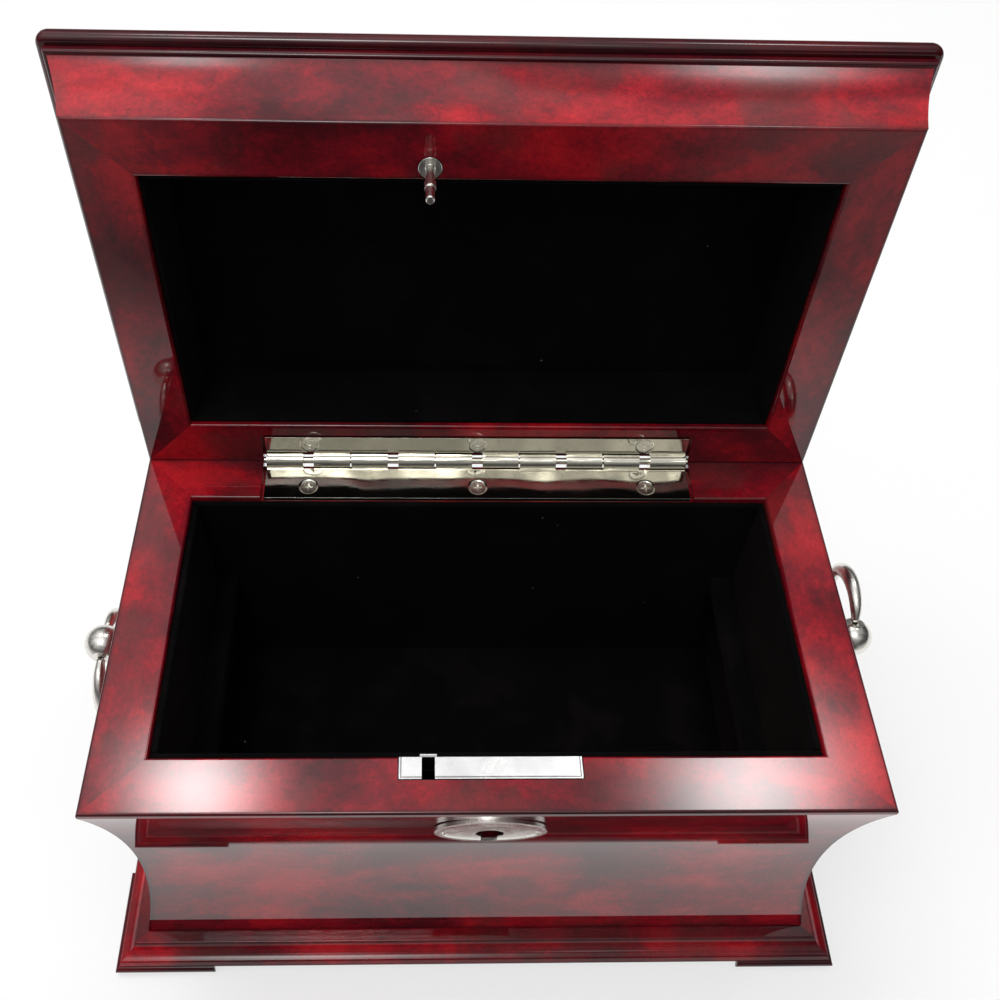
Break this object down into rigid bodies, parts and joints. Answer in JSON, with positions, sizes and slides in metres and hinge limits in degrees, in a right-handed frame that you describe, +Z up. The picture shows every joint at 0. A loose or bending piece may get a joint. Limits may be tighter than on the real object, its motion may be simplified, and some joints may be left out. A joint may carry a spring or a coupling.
{
  "type": "jewelry chest",
  "caption": "Lacquered wooden chest with coved sides on bracket feet, hinged lid with velvet-lined hollow, mortised lock with strike pin, and ring handles at both ends.",
  "frame": {"origin": "centre of the chest's footprint, on the floor under its feet", "axes": "+X along the chest to the right, +Y from the front to the hinge, +Z up"},
  "size_m": [0.3112, 0.2184, 0.3053],
  "materials": {
    "lacquered_wood": "high-gloss cherry-red burl lacquer",
    "panel_board": "plain board",
    "velvet": "black velvet",
    "hinge_nickel": "polished nickel",
    "lock_steel": "bright plated steel",
    "satin_nickel": "satin nickel"
  },
  "bodies": {
    "case": {"front_wall": "lacquered_wood", "back_wall": "lacquered_wood", "left_wall": "lacquered_wood", "right_wall": "lacquered_wood", "base_front": "lacquered_wood", "base_back": "lacquered_wood", "base_left": "lacquered_wood", "base_right": "lacquered_wood", "foot_front_left": "lacquered_wood", "foot_front_right": "lacquered_wood", "foot_back_right": "lacquered_wood", "foot_back_left": "lacquered_wood", "bottom_panel": "panel_board", "lining_front": "velvet", "lining_back": "velvet", "lining_left": "velvet", "lining_right": "velvet", "floor_pad": "velvet", "left_ledge": "velvet", "right_ledge": "velvet", "foot_felts": "velvet", "hinge_body_leaf": "hinge_nickel", "hinge_pin": "hinge_nickel", "hinge_body_screws": "hinge_nickel", "lock_case": "lock_steel", "lock_cover": "lock_steel", "lock_screws": "lock_steel", "escutcheon": "satin_nickel", "escutcheon_pins": "satin_nickel", "left_handle_rosette": "satin_nickel", "right_handle_rosette": "satin_nickel"},
    "lid": {"lid_front_rail": "lacquered_wood", "lid_back_rail": "lacquered_wood", "lid_left_rail": "lacquered_wood", "lid_right_rail": "lacquered_wood", "lid_bead": "lacquered_wood", "lid_top": "lacquered_wood", "lid_pad": "velvet", "lid_lining_front": "velvet", "lid_lining_back": "velvet", "lid_lining_left": "velvet", "lid_lining_right": "velvet", "hinge_lid_leaf": "hinge_nickel", "hinge_lid_screws": "hinge_nickel", "strike_pin": "satin_nickel"},
    "lock_bolt": {"lock_bolt": "lock_steel"},
    "key_cam": {"key_cam": "lock_steel"},
    "left_swivel": {"left_handle_ball": "satin_nickel", "left_handle_nut": "satin_nickel"},
    "left_ring": {"left_handle_ring": "satin_nickel"},
    "right_swivel": {"right_handle_ball": "satin_nickel", "right_handle_nut": "satin_nickel"},
    "right_ring": {"right_handle_ring": "satin_nickel"}
  },
  "joints": [
    {"name": "lid_hinge", "type": "hinge", "parent": "case", "child": "lid", "pos_m": [0, 0.07788, 0.13915], "axis": [-1, 0, 0], "range_deg": [-93.3, 0]},
    {"name": "key_turn", "type": "hinge", "parent": "case", "child": "key_cam", "pos_m": [0.0008, -0.06, 0.1106], "axis": [0, -1, 0], "range_deg": [0, 47.16]},
    {"name": "bolt_slide", "type": "slide", "parent": "case", "child": "lock_bolt", "axis": [-1, 0, 0], "range_m": [0, 0.0036]},
    {"name": "left_swivel", "type": "hinge", "parent": "case", "child": "left_swivel", "pos_m": [-0.1482, -0.0015, 0.1214], "axis": [-1, 0, 0], "continuous": true},
    {"name": "left_ring_swing", "type": "hinge", "parent": "left_swivel", "child": "left_ring", "pos_m": [-0.1482, -0.0015, 0.1214], "axis": [0, 1, 0], "range_deg": [-2, 150]},
    {"name": "right_swivel", "type": "hinge", "parent": "case", "child": "right_swivel", "pos_m": [0.1482, 0.0015, 0.1214], "axis": [1, 0, 0], "continuous": true},
    {"name": "right_ring_swing", "type": "hinge", "parent": "right_swivel", "child": "right_ring", "pos_m": [0.1482, 0.0015, 0.1214], "axis": [0, -0.4384, -0.8988], "range_deg": [-2, 150]}
  ],
  "couplings": [
    {"joint": "key_turn", "follows": "bolt_slide", "rad_per_m": 228.62}
  ]
}
